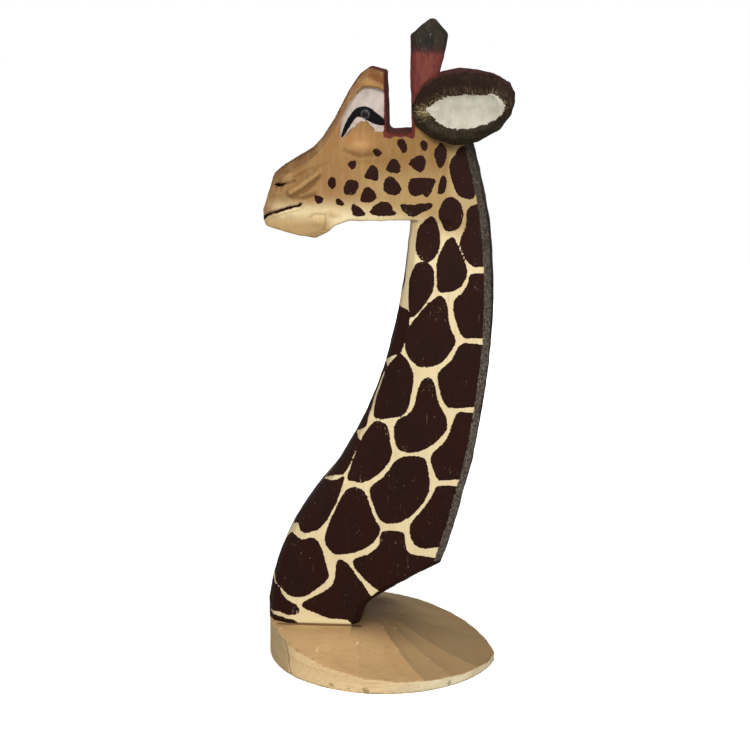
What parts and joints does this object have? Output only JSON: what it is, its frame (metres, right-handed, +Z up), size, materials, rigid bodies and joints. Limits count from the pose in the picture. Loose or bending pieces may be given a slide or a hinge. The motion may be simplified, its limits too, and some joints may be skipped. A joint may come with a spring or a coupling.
{
  "type": "carved giraffe statue",
  "caption": "Free-standing painted wood carving of a giraffe's head and long neck on a low hand-cut base, with set-on ears and a notch between forehead and horns.",
  "frame": {"origin": "middle of the underside of the base, on the surface the statue stands on", "axes": "+Z up, -X the way the giraffe faces, -Y its left side"},
  "size_m": [0.1144, 0.103, 0.3],
  "materials": {
    "bare_wood": "thin clear varnish, satin",
    "painted_wood": "hand-painted, satin",
    "ear_paint": "hand-painted, satin",
    "dowel_wood": "plain",
    "screw_steel": "zinc plated",
    "pin_paint": "black paint, worn"
  },
  "bodies": {
    "root": {"base": "bare_wood", "neck_and_head": "painted_wood", "ear_left": "ear_paint", "ear_right": "ear_paint", "ear_dowel_left": "dowel_wood", "ear_dowel_right": "dowel_wood", "foot_dowel": "dowel_wood", "base_screws": "screw_steel", "pupil_pin_left": "pin_paint", "pupil_pin_right": "pin_paint"}
  },
  "joints": []
}
